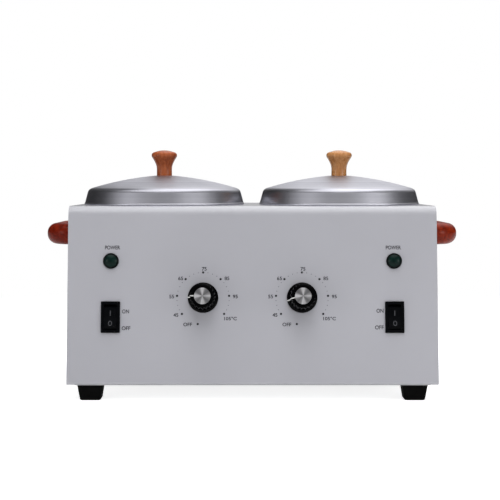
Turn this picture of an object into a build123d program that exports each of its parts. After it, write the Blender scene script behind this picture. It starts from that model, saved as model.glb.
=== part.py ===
from build123d import *
import os
from math import asin, cos, radians, sin, tan

# Double wax warmer: a folded sheet-metal casing with two lift-out wax pots under aluminium
# lids, a temperature dial, a rocker switch and a pilot lamp for each pot.
# Millimetres. X to the right, Y to the back, Z up. The origin is on the table, under the
# middle of the whole object's box.

# Casing, folded from one sheet, with two flanged side panels
casing_width = 316.0
casing_depth = 190.0            # from the foot of the front panel to the rear
casing_height = 151.0           # the folded sheet, without base plate and feet
front_lean = 10.0               # degrees by which the front panel leans back
sheet = 1.0
front_bend = 9.0                # outside radius where the front panel turns into the deck
rear_bend = 3.0
edge_bend = 2.0                 # outside radius of the two bottom bends
return_flange = 27.0            # width that the sheet turns in along the bottom
side_flange = 8.0               # width of the side panels' flanges
bend_clearance = 0.3            # a side panel's corner stands clear of the sheet's bend
least_bend = 0.2                # inside radius of a side panel's bottom bends
corner_relief = 2.0             # a relief in a side panel's rim reaches this far past the bend

# Base plate and feet
base_sheet = 1.0
base_inset = 5.6                # the plate's edge stands back from the casing
base_screw_row = 22.0           # rows of base screws from the front and rear edges
base_corner = 3.0
foot_height = 13.5
foot_top_width = 22.0
foot_tip_width = 17.8
foot_corner = 3.0
foot_inset_x = 19.0             # foot axis from the side of the casing
foot_inset_y = 17.0             # foot axis from the front or rear edge
foot_seat = 6.0                 # height of the screw seat inside the foot
foot_tip_edge = 1.2             # rounding round the bottom

# Screws and nuts: clearance in plain holes, and the sizes of each kind
fit_gap = 0.1
m4_radius = 2.0
m4_head_radius = 3.8
m4_head_height = 2.4
m4_nut_flats = 7.0
m4_nut_height = 3.2
m4_past_nut = 1.0
washer_height = 1.0
screw_end_gap = 1.0             # a blind hole goes this much deeper than its screw

# Vents in the base plate and the rear
base_slots = 8
base_slot_length = 46.0
base_slot_width = 4.0
base_slot_pitch = 11.0
base_slot_forward = 11.5        # the slots' middle in front of the plate's middle
rear_slots = 9
rear_slot_length = 30.0
rear_slot_width = 3.0
rear_slot_pitch = 8.0
rear_slot_height = 40.0         # height of the slots' lower ends above the sheet's bottom

# Lids, knobs, pots and wells: two equal stacks
stack_spacing = 161.6           # between the two pots' axes
lid_radius = 73.7               # over the rolled edge at the bottom
lid_edge_height = 1.8
lid_edge_reach = 0.5            # how far the rolled edge stands out of the skirt
lid_crease_radius = 70.6
lid_crease_height = 11.2
lid_shoulder_radius = 63.5      # where the crease's rounding runs into the dome
lid_shoulder_height = 16.0
lid_dome_slope = 0.27           # fall of the dome where it meets the crease's rounding
lid_dome_middle_radius = 37.0
lid_dome_middle_height = 22.4
lid_top_radius = 9.0            # flat land under the knob
lid_height = 26.4
lid_wall = 1.2
lid_front_gap = 0.5             # lid edge behind the line where the front bend meets the deck
knob_base_radius = 7.0
knob_waist_radius = 7.6
knob_waist_height = 9.8
knob_flare_radius = 11.0
knob_flare_height = 16.4
knob_rim_radius = 11.7
knob_rim_height = 18.6
knob_height = 23.3
knob_screw_length = 15.0
lid_washer_radius = 5.5

well_gap = 1.3                  # between pot and well
pot_inner_radius = 56.0
pot_wall = 1.5
pot_depth = 58.0
pot_corner = 10.0
pot_rim_radius = 63.0
pot_bead_radius = 1.5
well_wall = 1.2
well_floor_gap = 2.0            # between the pot's bottom and the well's floor
well_flange_radius = 66.0
well_corner = 8.0
deck_hole_gap = 0.3

band_gap = 0.1                  # heater band on the well
band_thickness = 2.0
band_height = 32.0
band_above_floor = 9.0
band_split = 7.0
lug_thickness = 2.0
lug_reach = 11.0                # how far the clamp lugs stand out of the band
clamp_inset = 5.0               # clamp screws from the lugs' tips
insulation_gap = 0.3
insulation_wall = 3.0
insulation_floor = 6.0
shield_sheet = 0.8
shield_corner = 5.0
lug_slot_gap = 1.5
stud_radius = 2.5
stud_nut_flats = 8.0
stud_nut_height = 4.0
bulb_radius = 2.2
bulb_length = 50.0
bulb_aside = 16.0               # bulb axis beside the well's axis
capillary_radius = 0.9
capillary_bend = 4.0            # radius of its bends
capillary_start = 16.0          # straight run out of the thermostat
capillary_ahead = 8.0           # it rises this far in front of the bulb
capillary_below = 12.0          # it passes this far below the shield

# Handles
handle_reach = 26.6
handle_span = 104.0
handle_pad = 18.0               # length of each end that meets the casing
handle_grip = 13.0              # thickness of the grip, outwards
handle_height = 18.7
handle_level = 125.5            # middle of the handle above the sheet's bottom
handle_leg = 1.5                # straight run of each end before its bend
handle_outer_flat = 1.3         # left between the two roundings of the outer side
handle_inner_round = 2.9
handle_screw_length = 15.0

# Front panel layout: X from the middle, and distance up the sloping panel
dial_x = 42.2
dial_up = 74.4
lamp_x = 121.0
lamp_up = 105.9
switch_x = 121.0
switch_up = 57.8

# Dials: thermostat, bush, spindle, knob, cap and pointer
bush_radius = 4.5
bush_height = 4.5
bush_nut_flats = 13.0
bush_nut_height = 2.0
thermostat_width = 36.0
thermostat_length = 30.0
thermostat_depth = 21.0
thermostat_round = 2.0
spindle_radius = 3.0
spindle_running_gap = 0.05
spindle_flat = 2.2              # from the spindle's axis to its flat
spindle_in_body = 12.0
spindle_fit = 0.03
dial_panel_gap = 0.8
dial_height = 21.0
dial_skirt_radius = 13.0
dial_skirt_height = 2.2
dial_cone_height = 4.0
dial_foot_radius = 11.0
dial_top_radius = 10.4
dial_top_round = 0.8
dial_hollow_radius = 9.0
dial_hollow_top = 7.0
dial_bore_top = 16.5
dial_flutes = 20
dial_flute_radius = 1.3
dial_flute_depth = 0.75
cap_radius = 6.9
cap_thickness = 1.2
cap_proud = 0.4
cap_round = 0.3
pointer_width = 0.9
pointer_depth = 0.35
left_pointer_angle = 179.0      # counterclockwise from the right, as the knobs stand
right_pointer_angle = 192.0

# Rocker switches
bezel_width = 16.2
bezel_length = 26.8
bezel_height = 2.0
bezel_round = 0.7
housing_width = 13.4
housing_length = 23.6
housing_depth = 18.0
cavity_width = 11.2
cavity_length = 21.7
cavity_depth = 8.0
cutout_gap = 0.1
snap_height = 5.0
snap_reach = 1.0
snap_width = 6.0
rocker_side_gap = 0.2
rocker_end_gap = 0.55
rocker_pivot_depth = 1.0        # pivot axis behind the panel's outer face
rocker_tilt = 8.0               # degrees to each side of level
rocker_middle = 2.6             # front face above the pivot, at the middle
rocker_flat = 7.8               # half length of the two front faces
rocker_bevel = 2.4
rocker_back = 1.8
rocker_tongue_half = 2.0
rocker_tongue_length = 5.5
pivot_radius = 1.5
pivot_running_gap = 0.05
pivot_length = 0.9
blade_width = 4.8
blade_thickness = 0.8
blade_length = 7.0

# Pilot lamps
lamp_flange_radius = 6.7
lamp_face_radius = 5.9
lamp_flange_height = 1.3
lamp_bezel_height = 2.3
lens_radius = 5.2
lens_fit = 0.05
lens_seat = 0.8
lens_wall_height = 1.6
lens_dome_height = 1.9
lamp_tube_radius = 4.9
lamp_tube_length = 22.0
lamp_nut_flats = 13.0
lamp_nut_height = 3.0
lamp_pin_spacing = 4.0

# Cord gland in the rear, terminal block and earth stud on the base plate
gland_x = 96.0
gland_up = 22.0
gland_bore_radius = 3.6
gland_neck_radius = 6.2
gland_flange_radius = 9.0
gland_flange_height = 3.0
gland_nose_radius = 6.6
gland_nose_height = 8.0
gland_nut_flats = 17.0
gland_nut_height = 4.0
gland_past_nut = 1.5
block_x = 50.0
block_behind = 62.0             # block axis in front of the rear panel
block_length = 38.0
block_width = 18.0
block_height = 15.0
block_step = 4.0
block_ways = 3
block_way_pitch = 8.5
block_way_radius = 2.2
block_screw_spacing = 30.0
earth_x = 104.0
earth_behind = 52.0
earth_length = 14.0
earth_tag_width = 9.0
earth_tag_length = 18.0

# Places worked out from the sizes above
lean = radians(front_lean)
sheet_z = foot_height + base_sheet
deck_z = sheet_z + casing_height
front_overhang = dial_height * cos(lean) + (dial_top_radius - dial_up) * sin(lean)
rear_overhang = gland_nose_height
front_y = -casing_depth / 2 + (front_overhang - rear_overhang) / 2
rear_y = front_y + casing_depth
deck_front_y = front_y + casing_height * tan(lean) + front_bend * tan((radians(90) - lean) / 2)
stack_x = stack_spacing / 2
stack_y = deck_front_y + lid_front_gap + lid_radius
pot_outer_radius = pot_inner_radius + pot_wall
well_inner_radius = pot_outer_radius + well_gap
well_outer_radius = well_inner_radius + well_wall
lid_skirt_radius = lid_radius - lid_edge_reach
rim_z = deck_z + well_wall
pot_floor_z = rim_z + pot_wall - pot_depth - pot_wall
well_floor_z = pot_floor_z - well_floor_gap
well_bottom_z = well_floor_z - well_wall
band_inner_radius = well_outer_radius + band_gap
band_outer_radius = band_inner_radius + band_thickness
band_z = well_bottom_z + band_above_floor
insulation_inner_radius = band_outer_radius + insulation_gap
insulation_outer_radius = insulation_inner_radius + insulation_wall
shield_inner_radius = insulation_outer_radius + insulation_gap
insulation_z = well_bottom_z - insulation_gap - insulation_floor
shield_z = insulation_z - shield_sheet
lug_tip_radius = band_outer_radius + lug_reach
handle_z = sheet_z + handle_level
handle_y = (front_y + handle_level * tan(lean) + rear_y) / 2
handle_screw_y = handle_span / 2 - handle_pad / 2
handle_gap = handle_reach - handle_grip
handle_outer_round = (handle_height - handle_outer_flat) / 2
side_x = casing_width / 2
panel = Plane(origin=(0, front_y, sheet_z), x_dir=(1, 0, 0), z_dir=(0, -cos(lean), sin(lean)))
sides = (("left", -1), ("right", 1))
wrap_bends = (edge_bend, front_bend, rear_bend, edge_bend)
standing = (Align.CENTER, Align.CENTER, Align.MIN)


def turned(*edges):
    """Solid of revolution about Z, from a closed outline of (radius, height)."""
    return revolve(Plane.XZ * make_face(edges), Axis.Z)


def turned_polygon(*points):
    return turned(Polyline(*points, close=True))


def disc(radius, bottom, height):
    return Pos(0, 0, bottom) * Cylinder(radius, height, align=standing)


def dome(radius, base, height):
    """Arc of a sphere's cap, from its edge up to its crown on the axis."""
    sphere = (radius ** 2 + height ** 2) / (2 * height)
    half = asin(radius / sphere) / 2
    middle = (sphere * sin(half), base + height - sphere * (1 - cos(half)))
    return ThreePointArc((radius, base), middle, (0, base + height))


def block(width, length, bottom, height):
    return Pos(0, 0, bottom) * Box(width, length, height, align=standing)


def hexagon_nut(flats, height, bore_radius, bottom=0.0):
    outline = RegularPolygon(flats / 2, 6, major_radius=False) - Circle(bore_radius)
    return Pos(0, 0, bottom) * extrude(outline, amount=height)


def pan_screw(length, head_radius=m4_head_radius, radius=m4_radius):
    """Screw along -Z with the underside of its head at the origin."""
    head = disc(head_radius, 0, m4_head_height)
    head = fillet(head.edges().sort_by(Axis.Z)[-1], m4_head_height / 2)
    slot = block(head_radius * 3, radius / 2, m4_head_height / 2, m4_head_height)
    return head - slot + disc(radius, -length, length)


def on_panel(x, up, piece):
    """Put a piece made round its own Z on the front panel, with Z along the panel's normal."""
    return panel.location * Pos(x, up, 0) * piece


def side_turn(side):
    """Turn a piece made along Z so that its Z points out of the left or right side."""
    return Rot(0, 90 * side, 0)


def box_corners(inset, bottom_inset):
    """Corners of the casing's side view in (Y, Z), moved in by an even inset."""
    top = deck_z - inset
    bottom = sheet_z + bottom_inset
    front = front_y + inset / cos(lean)
    rear = rear_y - inset
    front_bottom = (front + bottom_inset * tan(lean), bottom)
    front_top = (front + (casing_height - inset) * tan(lean), top)
    return [front_bottom, front_top, (rear, top), (rear, bottom)]


def box_outline(inset, bottom_inset, radii):
    corners = box_corners(inset, bottom_inset)
    return make_face(FilletPolyline(*corners, radius=radii, close=True))


def side_outline():
    """Side view of a side panel: inside the folded sheet, and down to its bottom."""
    return box_outline(sheet, 0, [bend - sheet + bend_clearance for bend in wrap_bends])


def casing_wrap():
    """Front, deck and rear in one sheet, turned in along the bottom, with its cut-outs."""
    mouth = casing_depth - 2 * return_flange
    middle_y = (front_y + rear_y) / 2
    section = box_outline(0, 0, wrap_bends)
    section -= box_outline(sheet, sheet, [bend - sheet for bend in wrap_bends])
    section = section - Pos(middle_y, sheet_z) * Rectangle(mouth, 4 * sheet)
    wrap = extrude(Plane.YZ * section, amount=side_x, both=True)
    for side in (-1, 1):
        notch = extrude(Plane.YZ * side_outline(), amount=side * (side_flange + bend_clearance))
        wrap -= Pos(side * (side_x - side_flange - bend_clearance), 0, 0) * notch
        wrap -= Pos(side * stack_x, stack_y, 0) * disc(
            well_outer_radius + deck_hole_gap, deck_z - 2 * sheet, 4 * sheet)
        bush_hole = disc(bush_radius + fit_gap, -2 * sheet, 4 * sheet)
        wrap -= on_panel(side * dial_x, dial_up, bush_hole)
        lamp_hole = disc(lamp_tube_radius + fit_gap, -2 * sheet, 4 * sheet)
        wrap -= on_panel(side * lamp_x, lamp_up, lamp_hole)
        cutout = block(housing_width + 2 * cutout_gap, housing_length + 2 * cutout_gap,
                       -2 * sheet, 4 * sheet)
        wrap -= on_panel(side * switch_x, switch_up, cutout)
    wrap -= rear_vents()
    wrap -= Pos(gland_x, rear_y, sheet_z + gland_up) * Rot(90, 0, 0) * disc(
        gland_neck_radius + fit_gap, -2 * sheet, 4 * sheet)
    for x, y in base_screw_places() + list(foot_places().values()):
        wrap -= Pos(x, y, 0) * disc(m4_radius + fit_gap, sheet_z - sheet, 3 * sheet)
    return wrap


def rear_vents():
    """Two groups of upright slots, one behind each stack."""
    outline = SlotOverall(rear_slot_length, rear_slot_width, rotation=90)
    slot = Rot(90, 0, 0) * extrude(outline, amount=2 * sheet, both=True)
    slot = Pos(0, rear_y, sheet_z + rear_slot_height + rear_slot_length / 2) * slot
    cuts = []
    for side in (-1, 1):
        for index in range(rear_slots):
            x = side * stack_x + (index - (rear_slots - 1) / 2) * rear_slot_pitch
            cuts.append(Pos(x, 0, 0) * slot)
    return cuts


def side_panel(side):
    """Flat web with a flange along each edge and a relief in each corner."""
    inside = 2 * sheet
    inner_radii = [least_bend, front_bend - inside, rear_bend - inside, least_bend]
    ring = side_outline() - box_outline(inside, sheet, inner_radii)
    web = extrude(Plane.YZ * side_outline(), amount=-side * sheet)
    rim = extrude(Plane.YZ * ring, amount=-side * side_flange)
    for (y, z), bend in zip(box_corners(sheet, 0), wrap_bends):
        relief = Rot(0, 90, 0) * Cylinder(bend + corner_relief, 4 * side_flange)
        rim -= Pos(0, y, z) * relief
    pan = Pos(side * side_x, 0, 0) * (rim + web)
    for y in (-handle_screw_y, handle_screw_y):
        hole = Rot(0, 90, 0) * Cylinder(m4_radius + fit_gap, 4 * sheet)
        pan -= Pos(side * side_x, handle_y + y, handle_z) * hole
    return pan


def base_screw_places():
    rows = (front_y + base_screw_row, rear_y - base_screw_row)
    return [(x, y) for x in (-stack_x, 0, stack_x) for y in rows]


def foot_places():
    x = side_x - foot_inset_x
    return {
        "front_left_foot": (-x, front_y + foot_inset_y),
        "front_right_foot": (x, front_y + foot_inset_y),
        "rear_left_foot": (-x, rear_y - foot_inset_y),
        "rear_right_foot": (x, rear_y - foot_inset_y),
    }


def base_plate():
    width = casing_width - 2 * base_inset
    outline = RectangleRounded(width, casing_depth - 2 * base_inset, base_corner)
    plate = Pos(0, (front_y + rear_y) / 2, foot_height) * extrude(outline, amount=base_sheet)
    slot = extrude(SlotOverall(base_slot_length, base_slot_width, rotation=90), amount=sheet_z)
    cuts = []
    for side in (-1, 1):
        for index in range(base_slots):
            x = side * stack_x + (index - (base_slots - 1) / 2) * base_slot_pitch
            cuts.append(Pos(x, (front_y + rear_y) / 2 - base_slot_forward, 0) * slot)
    hole = disc(m4_radius + fit_gap, 0, sheet_z + base_sheet)
    places = base_screw_places() + list(foot_places().values()) + block_screw_places() + [earth_place()]
    for x, y in places:
        cuts.append(Pos(x, y, 0) * hole)
    return plate - cuts


def foot():
    """Square rubber foot that tapers downwards, with its screw's seat inside."""
    tip = RectangleRounded(foot_tip_width, foot_tip_width, foot_corner)
    top = RectangleRounded(foot_top_width, foot_top_width, foot_corner)
    body = loft([tip.face(), (Pos(0, 0, foot_height) * top).face()])
    body = fillet(body.faces().sort_by(Axis.Z)[0].edges(), foot_tip_edge)
    body -= disc(m4_head_radius + 4 * fit_gap, -foot_seat, 2 * foot_seat)
    return body - disc(m4_radius + fit_gap, 0, 2 * foot_height)


def foot_fixing():
    """Screw up through the foot, the base plate and the return flange into its nut."""
    return through_fixing(foot_seat)


def base_fixing():
    """Screw up through the base plate and the return flange into its nut."""
    return through_fixing(foot_height)


def through_fixing(seat):
    """Screw up from its seat with its nut on the return flange."""
    flange_top = sheet_z + sheet
    length = flange_top + m4_nut_height + m4_past_nut - seat
    screw = Pos(0, 0, seat) * Rot(180, 0, 0) * pan_screw(length)
    return [screw, hexagon_nut(m4_nut_flats, m4_nut_height, m4_radius + fit_gap, flange_top)]


def handle(side):
    """Wooden arch with a rounded outside, flat where its two ends meet the casing."""
    half = handle_span / 2
    inner = half - handle_pad
    outer_line = FilletPolyline(
        (0, -half), (handle_reach, -half), (handle_reach, half), (0, half),
        radius=handle_reach - handle_leg)
    inner_line = FilletPolyline(
        (0, inner), (handle_gap, inner), (handle_gap, -inner), (0, -inner),
        radius=handle_gap - handle_leg)
    ends = [Line((0, half), (0, inner)), Line((0, -inner), (0, -half))]
    arch = extrude(make_face([*outer_line.edges(), *inner_line.edges(), *ends]),
                   amount=handle_height / 2, both=True)
    arch = fillet(rims_along(outer_line, arch), handle_outer_round)
    arch = fillet(rims_along(inner_line, arch), handle_inner_round)
    for y in (-handle_screw_y, handle_screw_y):
        hole = Rot(0, 90, 0) * disc(m4_radius + fit_gap, -sheet, handle_screw_length + screw_end_gap)
        arch -= Pos(0, y, 0) * hole
    if side < 0:
        arch = arch.mirror(Plane.YZ)
    return Pos(side * side_x, handle_y, handle_z) * arch


def rims_along(line, arch):
    """Edges of the arch that lie above and below a line of its outline."""
    rims = []
    for edge in arch.edges():
        middle = edge.position_at(0.5)
        level = abs(middle.Z) > handle_height / 2 - fit_gap
        if level and line.distance_to(Vector(middle.X, middle.Y, 0)) < fit_gap:
            rims.append(edge)
    return rims


def handle_fixing(side):
    """Wood screws from inside the casing into the handle's two ends."""
    screw = side_turn(-side) * pan_screw(handle_screw_length)
    x = side * (side_x - sheet)
    return [Pos(x, handle_y + y, handle_z) * screw for y in (-handle_screw_y, handle_screw_y)]


def at_stack(side, piece):
    return Pos(side * stack_x, stack_y, 0) * piece


def cup(inner_radius, wall, floor_z, floor, top_z, corner):
    """Open cup: outside turned with a rounded bottom corner, less its inside."""
    outer_radius = inner_radius + wall
    outside = FilletPolyline(
        (0, floor_z - floor), (outer_radius, floor_z - floor), (outer_radius, top_z), (0, top_z),
        radius=[corner + wall, 0])
    above_z = top_z + wall
    inside = FilletPolyline(
        (0, floor_z), (inner_radius, floor_z), (inner_radius, above_z), (0, above_z),
        radius=[corner, 0])
    outer = turned(*outside.edges(), Line((0, top_z), (0, floor_z - floor)))
    return outer - turned(*inside.edges(), Line((0, above_z), (0, floor_z)))


def heating_well():
    """Spun cup that hangs in the deck by its flange, with a stud under its floor."""
    well = cup(well_inner_radius, well_wall, well_floor_z, well_wall, rim_z, well_corner)
    flange = disc(well_flange_radius, deck_z, well_wall) - disc(well_inner_radius, deck_z, 2 * well_wall)
    stud_length = well_bottom_z - shield_z + stud_nut_height + 2 * m4_past_nut
    stud = disc(stud_radius, well_bottom_z - stud_length, stud_length)
    return well + flange + stud


def heater_band():
    """Split band with two lugs that a pair of screws draws together."""
    ring = disc(band_outer_radius, band_z, band_height) - disc(band_inner_radius, band_z, band_height)
    root = band_outer_radius - band_thickness / 2
    reach = lug_tip_radius - root
    ring -= Pos(0, band_outer_radius, 0) * block(band_split, band_outer_radius, band_z, band_height)
    for side in (-1, 1):
        lug = block(lug_thickness, reach, band_z, band_height)
        ring += Pos(side * (band_split + lug_thickness) / 2, root + reach / 2, 0) * lug
    tip_edges = ring.edges().filter_by(Axis.X).group_by(Axis.Y)[-1]
    ring = fillet(tip_edges, lug_thickness)
    for z in clamp_levels():
        hole = Rot(0, 90, 0) * Cylinder(m4_radius + fit_gap, band_split + 4 * lug_thickness)
        ring -= Pos(0, clamp_y(), z) * hole
    return ring


def clamp_levels():
    return (band_z + band_height / 4, band_z + band_height * 3 / 4)


def clamp_y():
    return lug_tip_radius - clamp_inset


def clamp_fixing():
    """The two clamp screws of one band, with their nuts."""
    half = band_split / 2 + lug_thickness
    length = 2 * half + m4_nut_height + m4_past_nut
    screw = Rot(0, 90, 0) * pan_screw(length)
    nut = Rot(0, -90, 0) * hexagon_nut(m4_nut_flats, m4_nut_height, m4_radius + fit_gap)
    pieces = []
    for z in clamp_levels():
        pieces.append(Pos(half, clamp_y(), z) * screw)
        pieces.append(Pos(-half, clamp_y(), z) * nut)
    return pieces


def lug_slot():
    """The way through insulation and shield that the clamp lugs stand in."""
    half = band_split / 2 + lug_thickness + m4_nut_height + m4_past_nut + lug_slot_gap
    bottom = band_z - lug_slot_gap
    return Pos(0, well_outer_radius + lug_reach, 0) * block(
        2 * half, 2 * lug_reach, bottom, deck_z - bottom)


def bulb_space(side, gap):
    """The room round the sensor bulb, under the well's floor."""
    radius = bulb_radius + gap
    tunnel = Rot(-90, 0, 0) * Pos(0, 0, -gap) * disc(radius, 0, bulb_length + 2 * gap)
    return Pos(-side * bulb_aside, bulb_start_y() - stack_y, bulb_z()) * tunnel


def bulb_z():
    return well_bottom_z - insulation_gap - bulb_radius


def bulb_start_y():
    return stack_y - bulb_length / 2


def capillary_rise_y():
    return bulb_start_y() - capillary_ahead


def insulation(side):
    """Fibre cup between the heated well and the shield."""
    top = deck_z - sheet - insulation_gap
    fibre = cup(insulation_inner_radius, insulation_wall, insulation_z + insulation_floor,
                insulation_floor, top, shield_corner + insulation_gap - insulation_wall)
    fibre -= disc(stud_radius + insulation_gap, shield_z, 3 * insulation_floor)
    fibre -= lug_slot()
    fibre -= bulb_space(side, insulation_gap)
    above_bulb = block(2 * (bulb_radius + insulation_gap), bulb_length + 2 * insulation_gap,
                       bulb_z(), 2 * bulb_radius)
    fibre -= Pos(-side * bulb_aside, 0, 0) * above_bulb
    return fibre - capillary_hole(side)


def capillary_hole(side):
    """The way up through shield and insulation for the capillary, from its rise to the bulb."""
    around = capillary_radius + 2 * insulation_gap
    start = capillary_rise_y() - around
    length = bulb_start_y() - start
    bottom = shield_z - shield_sheet
    hole = block(2 * around, length, bottom, bulb_z() + around - bottom)
    return Pos(-side * bulb_aside, start + length / 2 - stack_y, 0) * hole


def heat_shield(side):
    """Sheet cup that the nut draws up against the deck round the well."""
    cup_top = deck_z - sheet
    shield = cup(shield_inner_radius, shield_sheet, insulation_z, shield_sheet, cup_top, shield_corner)
    shield -= disc(stud_radius + insulation_gap, shield_z - shield_sheet, 3 * shield_sheet)
    return shield - lug_slot() - capillary_hole(side)


def sensor(side):
    """Sensor bulb under the well with its capillary from the thermostat's back."""
    start = on_panel_point(side * dial_x, dial_up, -sheet - thermostat_depth)
    end = Vector(side * (stack_x - bulb_aside), bulb_start_y(), bulb_z())
    inward = Vector(0, cos(lean), -sin(lean))
    low = start + inward * capillary_start
    under = Vector(end.X, capillary_rise_y(), shield_z - capillary_below)
    corner = Vector(under.X, under.Y, end.Z)
    path = FilletPolyline(start, low, under, corner, end, radius=capillary_bend)
    section = Plane(origin=start, z_dir=path % 0) * Circle(capillary_radius)
    tube = sweep(section, path=path)
    bulb = Pos(end.X, end.Y, end.Z) * Rot(-90, 0, 0) * disc(bulb_radius, 0, bulb_length)
    return tube + bulb


def on_panel_point(x, up, out):
    return panel.from_local_coords(Vector(x, up, out))


def thermostat():
    """Control body behind the panel with its threaded bush through it."""
    body = block(thermostat_width, thermostat_length, -sheet - thermostat_depth, thermostat_depth)
    body = fillet(body.edges().filter_by(Axis.Z), thermostat_round)
    body += disc(bush_radius, -sheet, sheet + bush_height)
    body -= disc(spindle_radius + spindle_running_gap, -sheet - spindle_in_body,
                 sheet + spindle_in_body + bush_height)
    blade = block(blade_thickness, blade_width, -sheet - thermostat_depth - blade_length, blade_length)
    for x in (-thermostat_width / 4, thermostat_width / 4):
        body += Pos(x, -thermostat_length / 4, 0) * blade
    return body


def bush_nut():
    return hexagon_nut(bush_nut_flats, bush_nut_height, bush_radius + fit_gap)


def dial_spindle():
    """Round spindle with a flat where the knob sits on it."""
    bottom = screw_end_gap - sheet - spindle_in_body
    spindle = disc(spindle_radius, bottom, dial_bore_top - bottom)
    flat = block(2 * spindle_radius, spindle_radius, bush_height + screw_end_gap, dial_height)
    return spindle - Pos(0, spindle_flat + spindle_radius / 2, 0) * flat


def dial_profile():
    """Outline of the knob before its flutes and its hollow: skirt, cone and tapered body."""
    top = dial_height - cap_proud
    points = [
        (0, dial_panel_gap), (dial_skirt_radius, dial_panel_gap),
        (dial_skirt_radius, dial_skirt_height), (dial_foot_radius, dial_cone_height),
        (dial_top_radius, top - dial_top_round), (dial_top_radius - dial_top_round, top), (0, top)]
    return make_face(Polyline(*points, close=True))


def dial_flute():
    """One flute: a round cutter that leans with the knob's taper."""
    bottom_radius = dial_foot_radius - dial_flute_depth + dial_flute_radius
    top_radius = dial_top_radius - dial_flute_depth + dial_flute_radius
    start = Vector(bottom_radius, 0, dial_cone_height)
    end = Vector(top_radius, 0, dial_height + 1)
    way = Plane(origin=start, z_dir=end - start)
    return way.location * disc(dial_flute_radius, 0, (end - start).length)


def dial_pointer():
    """White line let into the knob's top, side and skirt."""
    profile = dial_profile()
    inside = offset(profile, -pointer_depth)
    skin = revolve(Plane.XZ * profile, Axis.Z) - revolve(Plane.XZ * inside, Axis.Z)
    bottom = dial_skirt_height - dial_panel_gap / 2
    strip = block(dial_skirt_radius, pointer_width, bottom, dial_height)
    return skin & (Pos(cap_radius + 2 * fit_gap + dial_skirt_radius / 2, 0, 0) * strip)


def dial_knob():
    """Fluted knob on a skirt, hollow over the bush nut, with a flatted bore."""
    knob = revolve(Plane.XZ * dial_profile(), Axis.Z)
    flute = dial_flute()
    pitch = 360 / dial_flutes
    knob -= [Rot(0, 0, (index + 0.5) * pitch) * flute for index in range(dial_flutes)]
    knob -= disc(dial_hollow_radius, 0, dial_hollow_top)
    bore = disc(spindle_radius + spindle_fit, 0, dial_bore_top + spindle_fit)
    flat = block(3 * spindle_radius, spindle_radius, 0, dial_height)
    bore -= Pos(0, spindle_flat + spindle_fit + spindle_radius / 2, 0) * flat
    knob -= bore
    knob -= disc(cap_radius + fit_gap, dial_height - cap_thickness, cap_thickness)
    return knob - dial_pointer()


def dial_cap():
    cap = disc(cap_radius, dial_height - cap_thickness, cap_thickness)
    return fillet(cap.edges().sort_by(Axis.Z)[-1], cap_round)


def switch_housing():
    """Bezel on the panel, body through the cut-out, snap wedges behind it and blades."""
    bezel = block(bezel_width, bezel_length, 0, bezel_height)
    bezel = fillet(bezel.edges().filter_by(Axis.Z), bezel_round)
    bezel = chamfer(bezel.faces().sort_by(Axis.Z)[-1].edges(), bezel_round / 2)
    body = bezel + block(housing_width, housing_length, -housing_depth, housing_depth)
    body -= block(cavity_width, cavity_length, -cavity_depth, cavity_depth + 2 * bezel_height)
    pivot = Rot(0, 90, 0) * Cylinder(pivot_radius + pivot_running_gap, housing_width)
    body -= Pos(0, 0, -rocker_pivot_depth) * pivot
    for turn in (0, 180):
        wedge = extrude(
            Plane.YZ * make_face(Polyline(
                (housing_length / 2, -sheet), (housing_length / 2 + snap_reach, -sheet),
                (housing_length / 2, -sheet - snap_height), close=True)),
            amount=snap_width / 2, both=True)
        body += Rot(0, 0, turn) * wedge
    blade = block(blade_width, blade_thickness, -housing_depth - blade_length, blade_length)
    for y in (-housing_length / 3, 0, housing_length / 3):
        body += Pos(0, y, 0) * blade
    return body


def rocker():
    """Rocker with two front faces that meet in a shallow V, level before its tilt."""
    half = cavity_length / 2 - rocker_end_gap
    end = rocker_middle + rocker_flat * tan(radians(rocker_tilt))
    points = [
        (0, rocker_middle), (rocker_flat, end), (half, end - rocker_bevel), (half, -rocker_back),
        (rocker_tongue_half, -rocker_back), (rocker_tongue_half, -rocker_tongue_length)]
    points += [(-y, z) for y, z in reversed(points[1:])]
    width = cavity_width - 2 * rocker_side_gap
    body = extrude(Plane.YZ * make_face(Polyline(*points, close=True)), amount=width / 2, both=True)
    pins = Rot(0, 90, 0) * Cylinder(pivot_radius, cavity_width + 2 * pivot_length)
    return Pos(0, 0, -rocker_pivot_depth) * Rot(-rocker_tilt, 0, 0) * (body + pins)


def lamp_bezel():
    """Round bezel with the tube that carries the lamp behind the panel."""
    bezel = turned_polygon(
        (0, 0), (lamp_flange_radius, 0), (lamp_flange_radius, lamp_flange_height),
        (lamp_face_radius, lamp_bezel_height), (0, lamp_bezel_height))
    bezel += disc(lamp_tube_radius, -lamp_tube_length, lamp_tube_length)
    bezel -= disc(lens_radius + lens_fit, lens_seat, 2 * lamp_bezel_height)
    pin = block(blade_thickness, blade_width / 2, -lamp_tube_length - blade_length, blade_length)
    for x in (-lamp_pin_spacing / 2, lamp_pin_spacing / 2):
        bezel += Pos(x, 0, 0) * pin
    return bezel


def lamp_lens():
    """Domed lens seated in the bezel."""
    wall_top = lens_seat + lens_wall_height
    top = wall_top + lens_dome_height
    return turned(Line((0, lens_seat), (lens_radius, lens_seat)),
                  Line((lens_radius, lens_seat), (lens_radius, wall_top)),
                  dome(lens_radius, wall_top, lens_dome_height),
                  Line((0, top), (0, lens_seat)))


def lamp_nut():
    return hexagon_nut(lamp_nut_flats, lamp_nut_height, lamp_tube_radius + fit_gap,
                       -sheet - lamp_nut_height)


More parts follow.
